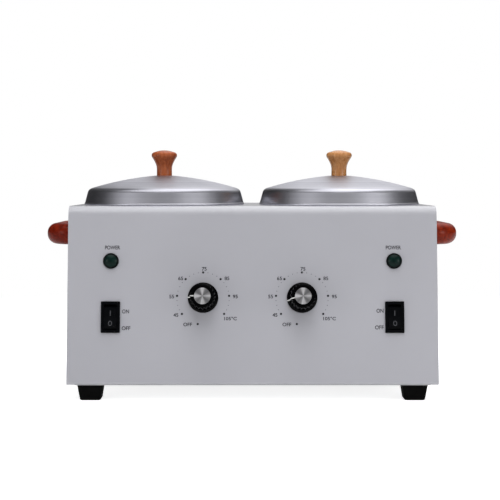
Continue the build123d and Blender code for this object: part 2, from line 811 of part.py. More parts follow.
def cord_gland():
    """Gland body through the rear panel, made along Z, which points out of the rear."""
    neck_length = sheet + gland_nut_height + gland_past_nut
    body = disc(gland_flange_radius, 0, gland_flange_height)
    body += turned_polygon(
        (0, gland_flange_height), (gland_flange_radius - 1, gland_flange_height),
        (gland_nose_radius, gland_nose_height), (0, gland_nose_height))
    body += disc(gland_neck_radius, -neck_length, neck_length)
    body -= disc(gland_bore_radius, -2 * neck_length, 4 * neck_length)
    nut = hexagon_nut(gland_nut_flats, gland_nut_height, gland_neck_radius + fit_gap,
                      -sheet - gland_nut_height)
    place = Pos(gland_x, rear_y, sheet_z + gland_up) * Rot(-90, 0, 0)
    return [place * body, place * nut]


def block_screw_places():
    y = rear_y - block_behind
    return [(block_x + x, y) for x in (-block_screw_spacing / 2, block_screw_spacing / 2)]


def terminal_block():
    """Three-way block with stepped sides, held by two screws."""
    body = block(block_length, block_width, sheet_z, block_height - block_step)
    body += block(block_length - 2 * block_step, block_width - 2 * block_step,
                  sheet_z, block_height)
    for index in range(block_ways):
        x = (index - (block_ways - 1) / 2) * block_way_pitch
        way = Rot(90, 0, 0) * Cylinder(block_way_radius, 2 * block_width)
        body -= Pos(x, 0, sheet_z + block_height / 2) * way
        body -= Pos(x, 0, 0) * disc(block_way_radius / 2, sheet_z + block_height / 2, block_height)
    for x in (-block_screw_spacing / 2, block_screw_spacing / 2):
        body -= Pos(x, 0, 0) * disc(m4_radius + fit_gap, 0, 4 * block_height)
        body -= Pos(x, 0, 0) * disc(m4_head_radius + fit_gap, sheet_z + block_height - block_step,
                                    2 * block_height)
    return Pos(block_x, rear_y - block_behind, 0) * body


def block_fixing():
    """Screw down through the block and the plate, with a nut under the plate."""
    seat = sheet_z + block_height - block_step
    length = seat - foot_height + m4_nut_height + m4_past_nut
    return [Pos(0, 0, seat) * pan_screw(length),
            hexagon_nut(m4_nut_flats, m4_nut_height, m4_radius + fit_gap, foot_height - m4_nut_height)]


def earth_place():
    return (earth_x, rear_y - earth_behind)


def earth_stud():
    """Screw up through the plate with a ring tag between its two nuts."""
    x, y = earth_place()
    screw = Pos(0, 0, foot_height) * Rot(180, 0, 0) * pan_screw(earth_length)
    bore = m4_radius + fit_gap
    lower = hexagon_nut(m4_nut_flats, m4_nut_height, bore, sheet_z)
    tag_z = sheet_z + m4_nut_height
    tag_middle = (earth_tag_length - earth_tag_width) / 2
    tag = Pos(tag_middle, 0) * SlotOverall(earth_tag_length, earth_tag_width) - Circle(bore)
    tag = Pos(0, 0, tag_z) * extrude(tag, amount=washer_height)
    upper = hexagon_nut(m4_nut_flats, m4_nut_height, bore, tag_z + washer_height)
    return [Pos(x, y, 0) * piece for piece in (screw, lower, tag, upper)]


def wax_pot():
    """Spun pot that hangs in the well by its beaded rim."""
    floor_z = pot_floor_z + pot_wall
    pot = cup(pot_inner_radius, pot_wall, floor_z, pot_wall, rim_z + pot_wall, pot_corner)
    rim = disc(pot_rim_radius, rim_z, pot_wall) - disc(pot_inner_radius, rim_z, 2 * pot_wall)
    bead_z = rim_z + pot_bead_radius
    bead = Plane.XZ * Pos(pot_rim_radius - pot_bead_radius, bead_z) * Circle(pot_bead_radius)
    return pot + rim + revolve(bead, Axis.Z)


def lid_curve(inset):
    """Rounded crease and dome of the lid, from the skirt's top, moved in by an even inset."""
    crease = (lid_crease_radius - inset, lid_crease_height - inset / 2)
    shoulder = (lid_shoulder_radius - inset / 2, lid_shoulder_height - inset)
    top = (lid_top_radius, lid_height - inset)
    skirt_way = (lid_crease_radius - lid_skirt_radius, lid_crease_height - lid_edge_height)
    return [
        Spline(crease, shoulder, tangents=[skirt_way, (-1, lid_dome_slope)]),
        ThreePointArc(shoulder, (lid_dome_middle_radius, lid_dome_middle_height - inset), top),
        Line(top, (0, lid_height - inset))]


def lid():
    """Spun lid with a rolled edge that stands on the deck round the well."""
    foot_radius = lid_skirt_radius
    edge = ThreePointArc((foot_radius, 0), (lid_radius, lid_edge_height / 2),
                         (foot_radius, lid_edge_height))
    crease = (lid_crease_radius, lid_crease_height)
    outside = turned(edge, Line((foot_radius, lid_edge_height), crease), *lid_curve(0),
                     Line((0, lid_height), (0, 0)), Line((0, 0), (foot_radius, 0)))
    inner_foot = (foot_radius - lid_wall, 0)
    inner_crease = (lid_crease_radius - lid_wall, lid_crease_height - lid_wall / 2)
    inside = turned(Line(inner_foot, inner_crease), *lid_curve(lid_wall),
                    Line((0, lid_height - lid_wall), (0, 0)), Line((0, 0), inner_foot))
    shell = outside - inside - disc(m4_radius + fit_gap, 0, 2 * lid_height)
    return Pos(0, 0, deck_z) * shell


def lid_knob():
    """Turned wooden knob: slightly waisted stem, flared head, oval top."""
    rim = (knob_rim_radius, knob_rim_height)
    stem = Spline((knob_base_radius, 0), (knob_waist_radius, knob_waist_height),
                  (knob_flare_radius, knob_flare_height), rim, tangents=[(0, 1), (0, 1)])
    crown = knob_height - knob_rim_height
    shoulder = (knob_rim_radius * cos(radians(45)), knob_rim_height + crown * sin(radians(45)))
    top = Spline(rim, shoulder, (0, knob_height), tangents=[(0, 1), (-1, 0)])
    knob = turned(Line((0, 0), (knob_base_radius, 0)), stem, top, Line((0, knob_height), (0, 0)))
    knob -= disc(m4_radius + fit_gap, 0, knob_screw_length + screw_end_gap)
    return Pos(0, 0, deck_z + lid_height) * knob


def lid_fixing():
    """Screw and washer under the lid that hold the knob."""
    under = deck_z + lid_height - lid_wall
    length = lid_wall + washer_height + knob_screw_length
    screw = Pos(0, 0, under - washer_height) * Rot(180, 0, 0) * pan_screw(length)
    washer = disc(lid_washer_radius, under - washer_height, washer_height)
    return [screw, washer - disc(m4_radius + fit_gap, 0, 2 * deck_z)]


def save(name, *pieces):
    shape = pieces[0] if len(pieces) == 1 else Compound(children=list(pieces))
    export_step(shape, f"parts/{name}.step")


def save_casing():
    save("casing_wrap", casing_wrap())
    save("base_plate", base_plate())
    rubber = foot()
    for name, (x, y) in foot_places().items():
        save(name, Pos(x, y, 0) * rubber)
    places = foot_places().values()
    save("foot_screws", *[Pos(x, y, 0) * piece for x, y in places for piece in foot_fixing()])
    places = base_screw_places()
    save("base_screws", *[Pos(x, y, 0) * piece for x, y in places for piece in base_fixing()])
    save("cable_gland", *cord_gland())
    save("terminal_block", terminal_block())
    places = block_screw_places()
    save("terminal_screws", *[Pos(x, y, 0) * piece for x, y in places for piece in block_fixing()])
    save("earth_stud", *earth_stud())


def save_side(name, side):
    save(f"{name}_side_panel", side_panel(side))
    save(f"{name}_handle", handle(side))
    save(f"{name}_heating_well", at_stack(side, heating_well()))
    save(f"{name}_heater_band", at_stack(side, heater_band()))
    save(f"{name}_insulation", at_stack(side, insulation(side)))
    save(f"{name}_heat_shield", at_stack(side, heat_shield(side)))
    save(f"{name}_sensor_line", sensor(side))
    save(f"{name}_thermostat", on_panel(side * dial_x, dial_up, thermostat()))
    save(f"{name}_switch_housing", on_panel(side * switch_x, switch_up, switch_housing()))
    save(f"{name}_rocker", on_panel(side * switch_x, switch_up, rocker()))
    save(f"{name}_lamp_bezel", on_panel(side * lamp_x, lamp_up, lamp_bezel()))
    save(f"{name}_lamp_lens", on_panel(side * lamp_x, lamp_up, lamp_lens()))
    save(f"{name}_wax_pot", at_stack(side, wax_pot()))
    save(f"{name}_lid", at_stack(side, lid()))
    save(f"{name}_lid_knob", at_stack(side, lid_knob()))
    save(f"{name}_lid_screw", *[at_stack(side, piece) for piece in lid_fixing()])


def save_dial(name, side, angle):
    pieces = {"dial_spindle": dial_spindle(), "dial_knob": dial_knob(), "dial_cap": dial_cap(),
              "dial_pointer": dial_pointer()}
    for kind, piece in pieces.items():
        save(f"{name}_{kind}", on_panel(side * dial_x, dial_up, Rot(0, 0, angle) * piece))


def save_fasteners():
    save("handle_screws", *[piece for _, side in sides for piece in handle_fixing(side)])
    save("heater_clamp_screws",
         *[at_stack(side, piece) for _, side in sides for piece in clamp_fixing()])
    stud_nut = hexagon_nut(stud_nut_flats, stud_nut_height, stud_radius + fit_gap,
                           shield_z - stud_nut_height)
    save("shield_nuts", *[at_stack(side, stud_nut) for _, side in sides])
    save("bush_nuts", *[on_panel(side * dial_x, dial_up, bush_nut()) for _, side in sides])
    save("lamp_nuts", *[on_panel(side * lamp_x, lamp_up, lamp_nut()) for _, side in sides])


os.makedirs("parts", exist_ok=True)
save_casing()
for side_name, side_sign in sides:
    save_side(side_name, side_sign)
save_dial("left", -1, left_pointer_angle)
save_dial("right", 1, right_pointer_angle)
save_fasteners()
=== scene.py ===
"""Looks of the double wax warmer: camera, studio, materials and the print on its front panel."""

from math import cos, pi, radians, sin

import bmesh
import bpy
from mathutils import Matrix, Vector


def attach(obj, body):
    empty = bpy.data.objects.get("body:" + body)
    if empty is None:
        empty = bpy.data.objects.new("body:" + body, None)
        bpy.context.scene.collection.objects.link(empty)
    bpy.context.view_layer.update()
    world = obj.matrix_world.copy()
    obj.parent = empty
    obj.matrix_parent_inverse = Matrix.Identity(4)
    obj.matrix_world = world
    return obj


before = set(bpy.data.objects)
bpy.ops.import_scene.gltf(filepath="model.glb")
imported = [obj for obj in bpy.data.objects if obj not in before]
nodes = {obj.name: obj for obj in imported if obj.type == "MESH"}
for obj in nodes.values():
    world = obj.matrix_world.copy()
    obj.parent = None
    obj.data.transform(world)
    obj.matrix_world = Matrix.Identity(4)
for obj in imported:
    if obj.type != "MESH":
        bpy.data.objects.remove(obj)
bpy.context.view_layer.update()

MM = 0.001
WHITE = (1, 1, 1, 1)
SIDES = (("left", -1), ("right", 1))


def both(kind):
    """Names of the left and the right piece of one kind."""
    return [f"{side}_{kind}" for side, _ in SIDES]


# Places of the part, in millimetres: the front panel's lean and lower edge, the axes of the pots and
# lids, the height from which a lid's top is duller, and the dials and switches on the panel
LEAN = radians(10.0)
FRONT_Y = -94.216
SHEET_Z = 14.5
STACK_X = 80.8
STACK_Y = 14.161
LID_TOP_Z = 180.0
DIAL_X = 42.2
DIAL_UP = 74.4
SWITCH_X = 121.0
SWITCH_UP = 57.8

# Panel frame: x to the right, y up the slope, z out of the panel
PANEL = Matrix((
    (1, 0, 0, 0),
    (0, sin(LEAN), -cos(LEAN), FRONT_Y * MM),
    (0, cos(LEAN), sin(LEAN), SHEET_Z * MM),
    (0, 0, 0, 1),
))
PANEL_TURN = (pi / 2 - LEAN, 0, 0)


def on_panel(x, up, out=0.0):
    """Panel frame moved to a place on it, given in millimetres."""
    return PANEL @ Matrix.Translation((x * MM, up * MM, out * MM))


def shade(levels):
    """Linear colour of three display levels from 0 to 255."""
    def channel(level):
        value = level / 255
        return value / 12.92 if value <= 0.04045 else ((value + 0.055) / 1.055) ** 2.4
    return (*[channel(level) for level in levels], 1.0)


# Values that most of a noise lies between, and those between which two shades blend
NOISE_LOW, NOISE_HIGH = 0.3, 0.7
SHADES_FROM, SHADES_TO = 0.35, 0.65


class Tree:
    """The nodes of one material or world, added by short calls."""

    def __init__(self, tree):
        self.tree = tree

    def add(self, kind, **settings):
        node = self.tree.nodes.new(kind)
        for key, value in settings.items():
            setattr(node, key, value)
        return node

    def link(self, source, target):
        self.tree.links.new(source, target)

    def feed(self, socket, given):
        """Link a socket to another one, or give it a value of its own."""
        if isinstance(given, bpy.types.NodeSocket):
            self.link(given, socket)
        else:
            socket.default_value = given

    def axes(self, vector):
        """X, y and z of a vector."""
        parts = self.add("ShaderNodeSeparateXYZ")
        self.link(vector, parts.inputs["Vector"])
        return [parts.outputs[axis] for axis in "XYZ"]

    def math(self, operation, *values):
        node = self.add("ShaderNodeMath", operation=operation)
        for socket, value in zip(node.inputs, values):
            self.feed(socket, value)
        return node.outputs["Value"]

    def weigh(self, first, second, share):
        """Mean of two values, with a share for the second."""
        rest = self.math("MULTIPLY", first, 1.0 - share)
        return self.math("ADD", rest, self.math("MULTIPLY", second, share))

    def spread(self, value, low, high, start=NOISE_LOW, end=NOISE_HIGH, curve="LINEAR"):
        """Number that goes from low to high while a value goes from start to end."""
        node = self.add("ShaderNodeMapRange", interpolation_type=curve)
        for key, number in (("From Min", start), ("From Max", end), ("To Min", low), ("To Max", high)):
            node.inputs[key].default_value = number
        self.link(value, node.inputs["Value"])
        return node.outputs["Result"]

    def step(self, value, start, end):
        """Smooth step from 0 to 1 while a value goes from start to end."""
        return self.spread(value, 0.0, 1.0, start, end, "SMOOTHSTEP")

    def ramp(self, value, *stops):
        """Colour that follows a value through stops, each a position and a linear colour."""
        node = self.add("ShaderNodeValToRGB")
        elements = node.color_ramp.elements
        while len(elements) < len(stops):
            elements.new(0.5)
        for element, (position, colour) in zip(elements, stops):
            element.position = position
            element.color = colour
        self.link(value, node.inputs["Fac"])
        return node.outputs["Color"]

    def levels(self, value, stops, most):
        """Number that follows a value through stops, each a position and a level up to the most."""
        shares = [(position, (level / most, level / most, level / most, 1)) for position, level in stops]
        return self.math("MULTIPLY", self.ramp(value, *shares), most)

    def blend(self, share, first, second, mode="MIX"):
        node = self.add("ShaderNodeMix", data_type="RGBA", blend_type=mode)
        for key, given in (("Factor", share), ("A", first), ("B", second)):
            self.feed(node.inputs[key], given)
        return node.outputs["Result"]


class Surface(Tree):
    """A Principled material, with what gives its colour, roughness and relief their detail."""

    def __init__(self, name, **values):
        self.material = bpy.data.materials.new(name)
        self.material.use_nodes = True
        super().__init__(self.material.node_tree)
        self.shader = self.tree.nodes["Principled BSDF"]
        for key, value in values.items():
            self.shader.inputs[key.replace("_", " ")].default_value = value
        self.texture = self.add("ShaderNodeTexCoord")

    def place(self, scale=(1, 1, 1), at=(0, 0, 0), turn=(0, 0, 0)):
        """Coordinates of the part in a frame at a point, turned, and then stretched."""
        local = self.add("ShaderNodeMapping", vector_type="TEXTURE")
        local.inputs["Location"].default_value = at
        local.inputs["Rotation"].default_value = turn
        self.link(self.texture.outputs["Object"], local.inputs["Vector"])
        stretch = self.add("ShaderNodeMapping", vector_type="POINT")
        stretch.inputs["Scale"].default_value = scale
        self.link(local.outputs["Vector"], stretch.inputs["Vector"])
        return stretch.outputs["Vector"]

    def noise(self, vector, scale, detail=3.0, rough=0.5, bend=0.0):
        """Noise whose scale is its number of cells in a metre."""
        node = self.add("ShaderNodeTexNoise")
        for key, number in (("Scale", scale), ("Detail", detail), ("Roughness", rough), ("Distortion", bend)):
            node.inputs[key].default_value = number
        self.link(vector, node.inputs["Vector"])
        return node.outputs["Fac"]

    def line_noise(self, value, scale, detail=3.0):
        """Noise along a single value."""
        node = self.add("ShaderNodeTexNoise", noise_dimensions="1D")
        node.inputs["Scale"].default_value = scale
        node.inputs["Detail"].default_value = detail
        self.link(value, node.inputs["W"])
        return node.outputs["Fac"]

    def two_shades(self, value, first, second):
        """Colour between two display colours that follows a noise."""
        return self.ramp(value, (SHADES_FROM, shade(first)), (SHADES_TO, shade(second)))

    def colour(self, socket):
        self.link(socket, self.shader.inputs["Base Color"])

    def rough(self, socket):
        self.link(socket, self.shader.inputs["Roughness"])

    def relief(self, *layers):
        """Bump layers, each a height socket with its depth in millimetres."""
        below = None
        for height, depth in layers:
            bump = self.add("ShaderNodeBump")
            bump.inputs["Strength"].default_value = 1.0
            bump.inputs["Distance"].default_value = depth * MM
            self.link(height, bump.inputs["Height"])
            if below is not None:
                self.link(below, bump.inputs["Normal"])
            below = bump.outputs["Normal"]
        self.link(below, self.shader.inputs["Normal"])

    def radial(self, axis):
        """Grain that runs round the piece's own middle."""
        tangent = self.add("ShaderNodeTangent", direction_type="RADIAL", axis=axis)
        self.link(tangent.outputs["Tangent"], self.shader.inputs["Tangent"])


# Nearly all of a noise, so that the enamel's gloss never stops at a limit, which would show as an edge
ALL_NOISE = (0.05, 0.95)


def painted(name, first, second, low, high, depth):
    """Baked enamel: faint orange peel, faint clouds in colour and gloss."""
    s = Surface(name, Coat_Weight=1.0, Coat_Roughness=0.22)
    whole = s.place()
    peel = s.noise(whole, scale=420, detail=2)
    grain = s.noise(whole, scale=2600, detail=2)
    s.colour(s.two_shades(s.noise(whole, scale=9), first, second))
    s.rough(s.spread(s.noise(whole, scale=30, detail=4), low, high, *ALL_NOISE))
    s.relief((peel, depth), (grain, depth / 4))
    return s.material


# Share of the wood's colour in its fine dark streaks, how much of its dark shade the pores take, and the
# values of their noise between which they show
STREAK_SHARE = (0.86, 0.82, 0.8, 1)
PORE_SHARE = 0.25
PORES = (0.62, 0.72)


def wood(name, dark, middle, light, grain, at, coat):
    """Stained and lacquered wood, its grain drawn out along one axis."""
    s = Surface(name, Coat_Weight=coat, Coat_Roughness=0.12, Specular_IOR_Level=0.05)
    long = s.place(scale=grain, at=at)
    streak = s.noise(long, scale=1.0, detail=6, rough=0.62, bend=0.6)
    fine = s.noise(long, scale=5.0, rough=0.7)
    pore = s.noise(long, scale=16.0, detail=2, rough=0.6)
    body = s.ramp(streak, (0.3, shade(dark)), (0.5, shade(middle)), (0.72, shade(light)))
    streaks = s.ramp(fine, (0.3, STREAK_SHARE), (0.6, WHITE))
    streaked = s.blend(1.0, body, streaks, "MULTIPLY")
    s.colour(s.blend(s.spread(pore, 0.0, PORE_SHARE, *PORES), streaked, shade(dark)))
    s.rough(s.spread(fine, 0.3, 0.42))
    s.relief((streak, 0.012), (pore, 0.008))
    return s.material


# Painted highlight rays of a small turned face: how many, how far they wander in radians, and the shares
# of the metal's colour from the gaps to the middle of a ray, which paint its sheen into the colour as
# light and dark wedges
RAYS = 4.0
RAY_WANDER = 0.9
PAINTED_SHEEN_SHADES = ((0.0, (0.34, 0.34, 0.35, 1)), (0.5, (0.56, 0.56, 0.57, 1)), (1.0, (1.12, 1.12, 1.14, 1)))


def painted_sheen_rays(s, x, y):
    """Painted highlight: shares of the metal's colour round a turned face, in light and dark rays for its
    sheen.
    """
    angle = s.math("ARCTAN2", y, x)
    uneven = s.math("SUBTRACT", s.line_noise(angle, scale=2.2, detail=2), 0.5)
    bent = s.math("ADD", angle, s.math("MULTIPLY", uneven, RAY_WANDER))
    wave = s.math("COSINE", s.math("MULTIPLY", bent, RAYS))
    return s.ramp(s.spread(wave, 0.0, 1.0, -1.0, 1.0), *PAINTED_SHEEN_SHADES)


# Fine rings to one band of colour, and by how much, and over how many millimetres, a lid's top is duller
RINGS_IN_BAND = 12
DULLER = 0.16
DULLER_OVER = 4.0


def spun(name, first, second, low, high, at, turn=(0, 0, 0), axis="Z", anisotropy=0.6, rings=2400,
         depth=0.006, dome=1.0, dull_from=None, painted_rays=False):
    """Spun or turned metal: fine rings about an axis, with bands of colour and gloss.

    Dome is how much a ring depends on the height, so that walls have rings too. Above dull_from, in
    millimetres, the metal is a little duller. The last flag is for a small turned face, whose sheen is
    painted into its colour as broad rays of painted highlight and shade that run out from its middle."""
    s = Surface(name, Metallic=1.0, Anisotropic=anisotropy, Anisotropic_Rotation=0.25 if painted_rays else 0.0)
    place = s.place(at=at, turn=turn)
    x, y, z = s.axes(place)
    square = s.math("ADD", s.math("MULTIPLY", x, x), s.math("MULTIPLY", y, y))
    along = s.math("SUBTRACT", s.math("SQRT", square), s.math("MULTIPLY", z, dome))
    ring = s.line_noise(along, rings, detail=4)
    band = s.line_noise(along, rings / RINGS_IN_BAND)
    stain = s.noise(place, scale=26, detail=5, rough=0.6)
    metal = s.two_shades(s.weigh(band, stain, 0.45), first, second)
    # Painted highlight: a small turned face's colour is multiplied by light and dark rays that stand for its
    # sheen
    s.colour(s.blend(1.0, metal, painted_sheen_rays(s, x, y), "MULTIPLY") if painted_rays else metal)
    gloss = s.spread(s.weigh(ring, stain, 0.5), low, high)
    if dull_from is not None:
        edge = s.spread(z, 0.0, DULLER, dull_from * MM, (dull_from + DULLER_OVER) * MM)
        gloss = s.math("ADD", gloss, edge)
    s.rough(gloss)
    s.relief((ring, depth), (s.noise(place, scale=60, detail=2), 0.03))
    s.radial(axis)
    return s.material


def moulded(name, first, second, low, high, depth, level):
    """Moulded plastic, rubber or ceramic: fine texture and slight mottling."""
    s = Surface(name, Specular_IOR_Level=level)
    whole = s.place()
    s.colour(s.two_shades(s.noise(whole, scale=60, detail=4), first, second))
    s.rough(s.spread(s.noise(whole, scale=240), low, high))
    s.relief((s.noise(whole, scale=3000, detail=2), depth), (s.noise(whole, scale=160, detail=2), depth))
    return s.material


# Noise cells in a metre along each axis, for the lines that rolling or drawing leaves
ROLLING_LINES = (30, 300, 30)


def rolled(name, first, second, low, high):
    """Rolled or drawn metal with faint lines along the sheet."""
    s = Surface(name, Metallic=1.0)
    lines = s.noise(s.place(scale=ROLLING_LINES), scale=2.0, detail=5, rough=0.6)
    spots = s.noise(s.place(), scale=90, detail=4)
    s.colour(s.two_shades(spots, first, second))
    s.rough(s.spread(lines, low, high))
    s.relief((lines, 0.01))
    return s.material


def fibre(name, first, second):
    """Felted fibre: matted strands and a loose surface."""
    s = Surface(name, Sheen_Weight=0.2)
    strands = s.noise(s.place(scale=(1, 1, 4)), scale=260, detail=6, rough=0.7, bend=1.5)
    s.colour(s.two_shades(strands, first, second))
    s.rough(s.spread(s.noise(s.place(), scale=120), 0.85, 1.0))
    s.relief((strands, 0.25))
    return s.material


def lens(name, first, second):
    """Green lens with a faint pattern of ribs inside it."""
    s = Surface(name, Specular_IOR_Level=0.12)
    whole = s.place()
    s.colour(s.two_shades(s.noise(whole, scale=260), first, second))
    s.rough(s.spread(s.noise(whole, scale=500, detail=2), 0.1, 0.2))
    s.relief((s.noise(whole, scale=420, detail=1), 0.01))
    return s.material


def ink(name, first, second):
    """Screen-printed ink with slightly uneven cover."""
    s = Surface(name, Specular_IOR_Level=0.3)
    whole = s.place()
    s.colour(s.two_shades(s.noise(whole, scale=900), first, second))
    s.rough(s.spread(s.noise(whole, scale=1500, detail=2), 0.5, 0.65))
    s.relief((s.noise(whole, scale=2500, detail=2), 0.004))
    return s.material


# Rolled metals: name, two shades, lowest and highest roughness, and the pieces
ROLLED = (
    ("base_steel", (150, 152, 154), (172, 173, 175), 0.35, 0.55, ["base_plate"]),
    ("screw_steel", (160, 161, 163), (188, 189, 190), 0.25, 0.42,
     ["foot_screws", "base_screws", "terminal_screws", "handle_screws", "heater_clamp_screws",
      "shield_nuts", "bush_nuts", "lamp_nuts", *both("lid_screw")]),
    ("earth_brass", (176, 142, 72), (204, 170, 96), 0.28, 0.45, ["earth_stud"]),
    ("band_steel", (138, 136, 132), (168, 166, 160), 0.3, 0.5, both("heater_band")),
    ("shield_steel", (158, 160, 162), (182, 184, 186), 0.35, 0.5, both("heat_shield")),
    ("sensor_copper", (176, 104, 70), (200, 128, 92), 0.25, 0.4, both("sensor_line")),
    ("spindle_steel", (166, 167, 168), (190, 191, 192), 0.2, 0.35, both("dial_spindle")),
)

# Moulded pieces: name, two shades, lowest and highest roughness, depth of the texture in millimetres,
# specular level, and the pieces
MOULDED = (
    ("foot_rubber", (5, 5, 5), (8, 8, 8), 0.7, 0.85, 0.02, 0.06,
     ["front_left_foot", "front_right_foot", "rear_left_foot", "rear_right_foot"]),
    ("gland_black", (20, 20, 21), (30, 30, 31), 0.4, 0.55, 0.01, 0.5, ["cable_gland"]),
    ("block_ceramic", (214, 208, 192), (228, 223, 210), 0.35, 0.6, 0.01, 0.5, ["terminal_block"]),
    ("thermostat_body", (206, 200, 186), (222, 217, 205), 0.4, 0.6, 0.01, 0.5, both("thermostat")),
    ("dial_black", (1, 1, 2), (3, 3, 4), 0.2, 0.28, 0.006, 0.04, both("dial_knob")),
    ("pointer_white", (206, 206, 204), (220, 220, 218), 0.4, 0.6, 0.01, 0.5, both("dial_pointer")),
    ("switch_black", (3, 4, 6), (5, 6, 8), 0.4, 0.52, 0.008, 0.04, both("switch_housing") + both("rocker")),
    ("lamp_black", (4, 8, 8), (6, 11, 11), 0.3, 0.42, 0.006, 0.08, both("lamp_bezel")),
)

# Wooden pieces: name, dark, middle and light shade, noise cells in a metre along each axis, place of the
# grain in metres, weight of the lacquer, and the piece
WOODS = (
    ("left_handle_wood", (84, 16, 3), (108, 24, 6), (132, 36, 12), (240, 26, 240), (0, 0, 0), 0.12,
     "left_handle"),
    ("right_handle_wood", (92, 20, 2), (124, 32, 6), (148, 46, 11), (240, 26, 240), (0.31, 0.05, 0.02), 0.2,
     "right_handle"),
    ("left_knob_wood", (136, 62, 30), (168, 88, 50), (188, 106, 66), (420, 420, 60), (0, 0, 0), 0.35,
     "left_lid_knob"),
    ("right_knob_wood", (168, 108, 60), (198, 138, 84), (216, 160, 106), (420, 420, 60), (0, 0, 0), 0.55,
     "right_lid_knob"),
)

# The lids' two shades, and the display levels by which each lid departs from them, to its own side
LID_SHADES = ((178, 178, 187), (200, 200, 208))
LID_TONE = 4


def paint(material, names):
    for name in names:
        slots = nodes[name].data.materials
        slots.clear()
        slots.append(material)


def finish_tables():
    """Materials of the three tables."""
    for *values, pieces in ROLLED:
        paint(rolled(*values), pieces)
    for *values, pieces in MOULDED:
        paint(moulded(*values), pieces)
    for *values, piece in WOODS:
        paint(wood(*values), [piece])


def finish_casing():
    enamel = painted("casing_paint", (172, 172, 179), (176, 176, 183), 0.26, 0.38, depth=0.012)
    paint(enamel, ["casing_wrap", *both("side_panel")])


def finish_stacks():
    for side, sign in SIDES:
        axis = (sign * STACK_X * MM, STACK_Y * MM, 0)
        shades = [[level + sign * LID_TONE for level in levels] for levels in LID_SHADES]
        paint(spun(f"{side}_lid_aluminium", *shades, 0.28, 0.36, axis, anisotropy=0.35, dull_from=LID_TOP_Z),
              [f"{side}_lid"])
        paint(spun(f"{side}_pot_aluminium", (196, 197, 199), (214, 215, 216), 0.28, 0.38, axis),
              [f"{side}_wax_pot"])
        paint(spun(f"{side}_well_aluminium", (168, 168, 168), (190, 190, 189), 0.34, 0.5, axis),
              [f"{side}_heating_well"])
    paint(fibre("insulation_fibre", (206, 200, 186), (230, 226, 216)), both("insulation"))


def finish_controls():
    for side, sign in SIDES:
        middle = on_panel(sign * DIAL_X, DIAL_UP).translation
        # The caps' colour holds painted highlight rays, on top of the sheen that their anisotropic rings give
        cap = spun(f"{side}_dial_cap", (196, 195, 196), (212, 211, 212), 0.3, 0.38, middle, PANEL_TURN, "Y",
                   anisotropy=0.9, rings=5200, depth=0.003, dome=0.0, painted_rays=True)
        paint(cap, [f"{side}_dial_cap"])
    paint(lens("lens_green", (3, 24, 20), (6, 36, 31)), both("lamp_lens"))


# Print, in millimetres: how far off its face it lies, how thick it is, how near two points become one,
# the steps of a letter's curves, and how much its strokes are thickened, in parts of its own size
PRINT_OUT = 0.02
PRINT_DEPTH = 0.03
SAME_POINT = 1e-4
LETTER_STEPS = 4
STROKE = 0.02


def text_mesh(words, width, height):
    """Flat mesh of a word that fills a box about the origin, in millimetres."""
    curve = bpy.data.curves.new(words, "FONT")
    curve.body = words
    curve.resolution_u = LETTER_STEPS
    curve.offset = STROKE
    holder = bpy.data.objects.new(words, curve)
    bpy.context.scene.collection.objects.link(holder)
    bpy.context.view_layer.update()
    flat = bpy.data.meshes.new_from_object(holder.evaluated_get(bpy.context.evaluated_depsgraph_get()))
    bpy.data.objects.remove(holder)
    bpy.data.curves.remove(curve)
    shape = bmesh.new()
    shape.from_mesh(flat)
    bpy.data.meshes.remove(flat)
    low = [min(point.co[i] for point in shape.verts) for i in range(2)]
    high = [max(point.co[i] for point in shape.verts) for i in range(2)]
    for point in shape.verts:
        point.co.x = (point.co.x - (low[0] + high[0]) / 2) * width / (high[0] - low[0])
        point.co.y = (point.co.y - (low[1] + high[1]) / 2) * height / (high[1] - low[1])
        point.co.z = 0.0
    return shape


def dot_mesh(radius, sides):
    """Flat round dot, in millimetres."""
    shape = bmesh.new()
    bmesh.ops.create_circle(shape, cap_ends=True, radius=radius, segments=sides)
    return shape


def ring_mesh(width, height, line, sides=36):
    """Flat oval ring for the mark of the off position, in millimetres."""
    shape = bmesh.new()
    rings = []
    for inset in (0.0, line):
        across = width / 2 - inset
        up = height / 2 - inset
        turns = [2 * pi * index / sides for index in range(sides)]
        rings.append([shape.verts.new((across * cos(turn), up * sin(turn), 0)) for turn in turns])
    outer, inner = rings
    for index in range(sides):
        after = (index + 1) % sides
        shape.faces.new((outer[index], outer[after], inner[after], inner[index]))
    return shape


def bar_mesh(width, height):
    """Flat bar for the mark of the on position, in millimetres."""
    shape = bmesh.new()
    corners = ((-1, -1), (1, -1), (1, 1), (-1, 1))
    shape.faces.new([shape.verts.new((x * width / 2, y * height / 2, 0)) for x, y in corners])
    return shape


def printed(name, body, material, plane, marks):
    """One piece of print: each mark is a flat shape and its place on a plane, in millimetres."""
    whole = bmesh.new()
    for shape, x, y in marks:
        bmesh.ops.translate(shape, verts=shape.verts, vec=(x, y, PRINT_OUT))
        passing = bpy.data.meshes.new("passing")
        shape.to_mesh(passing)
        shape.free()
        whole.from_mesh(passing)
        bpy.data.meshes.remove(passing)
    bmesh.ops.remove_doubles(whole, verts=whole.verts, dist=SAME_POINT)
    bmesh.ops.recalc_face_normals(whole, faces=whole.faces)
    for face in whole.faces:
        if face.normal.z < 0:
            face.normal_flip()
    top = bmesh.ops.extrude_face_region(whole, geom=list(whole.faces), use_keep_orig=True)
    raised = [item for item in top["geom"] if isinstance(item, bmesh.types.BMVert)]
    bmesh.ops.translate(whole, verts=raised, vec=(0, 0, PRINT_DEPTH))
    bmesh.ops.recalc_face_normals(whole, faces=whole.faces)
    bmesh.ops.scale(whole, vec=(MM, MM, MM), verts=whole.verts)
    bmesh.ops.transform(whole, matrix=plane, verts=whole.verts)
    mesh = bpy.data.meshes.new(name)
    whole.to_mesh(mesh)
    whole.free()
    mesh.materials.append(material)
    piece = bpy.data.objects.new(name, mesh)
    bpy.context.scene.collection.objects.link(piece)
    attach(piece, body)


